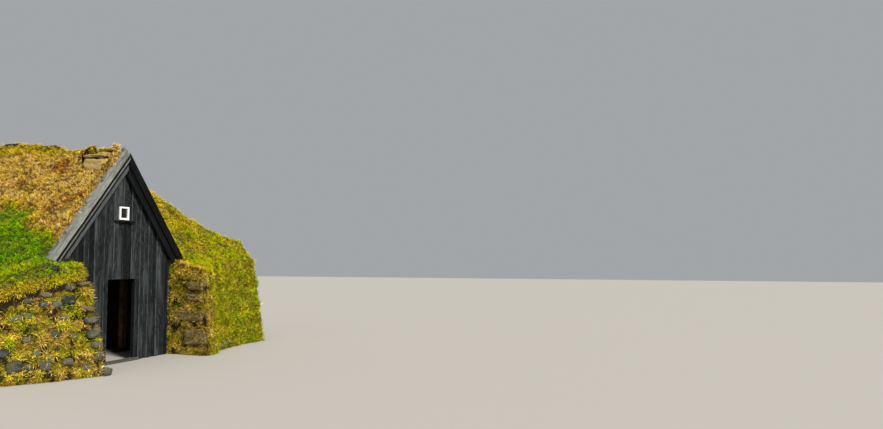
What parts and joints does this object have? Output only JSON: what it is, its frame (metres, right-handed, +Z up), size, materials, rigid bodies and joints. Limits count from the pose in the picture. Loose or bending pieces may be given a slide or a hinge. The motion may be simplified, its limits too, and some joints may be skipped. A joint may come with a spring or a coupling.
{
  "type": "turf house",
  "caption": "Gabled turf house unit from a row: tarred board front with open doorway and small window, battered turf-and-stone walls, timber frame and grass roof",
  "frame": {"origin": "middle of the front on the ground, in the outer face of the boards, under the threshold", "axes": "+X right along the front seen from outside, +Y back into the house, +Z up"},
  "size_m": [7.8, 7.88, 4.6921],
  "materials": {
    "turf_roof": "growing turf, dry grass with rust and green patches",
    "turf_green": "growing turf, green and straw grass",
    "turf_wall": "turf and scattered lava stones",
    "tarred_boards": "black tarred boards, streaked",
    "tarred_trim": "black tarred trim boards",
    "grey_board": "bare weathered grey board",
    "grey_trim": "weathered grey tarred trim",
    "frame_timber": "old rough timber",
    "threshold_wood": "worn grey plank",
    "white_paint": "white painted wood",
    "window_glass": "dark window glass",
    "pad_stone": "rough lava stone",
    "slab_stone": "flat lichened slab"
  },
  "bodies": {
    "root": {"roof_turf_left": "turf_roof", "roof_turf_right": "turf_roof", "left_turf": "turf_green", "right_turf": "turf_green", "back_turf": "turf_green", "left_wall": "turf_wall", "right_wall": "turf_wall", "back_wall": "turf_wall", "front_boards_left": "tarred_boards", "front_boards_right": "tarred_boards", "front_boards_top": "tarred_boards", "door_post_left": "tarred_trim", "door_post_right": "tarred_trim", "door_head": "tarred_trim", "window_ledge": "tarred_trim", "bargeboard_outer_right": "tarred_trim", "bargeboard_inner_right": "tarred_trim", "verge_cap_left": "grey_board", "verge_cap_right": "grey_board", "bargeboard_outer_left": "grey_trim", "bargeboard_inner_left": "grey_trim", "sill_left": "frame_timber", "sill_right": "frame_timber", "front_rail": "frame_timber", "ridge_board": "frame_timber", "collar_beams": "frame_timber", "roof_boards_left": "frame_timber", "roof_boards_right": "frame_timber", "wall_plate_left": "frame_timber", "wall_plate_right": "frame_timber", "posts_left": "frame_timber", "posts_right": "frame_timber", "rafters_left": "frame_timber", "rafters_right": "frame_timber", "threshold": "threshold_wood", "window_frame": "white_paint", "window_pane": "window_glass", "pad_stones_left": "pad_stone", "pad_stones_right": "pad_stone", "roof_slabs": "slab_stone"}
  },
  "joints": []
}
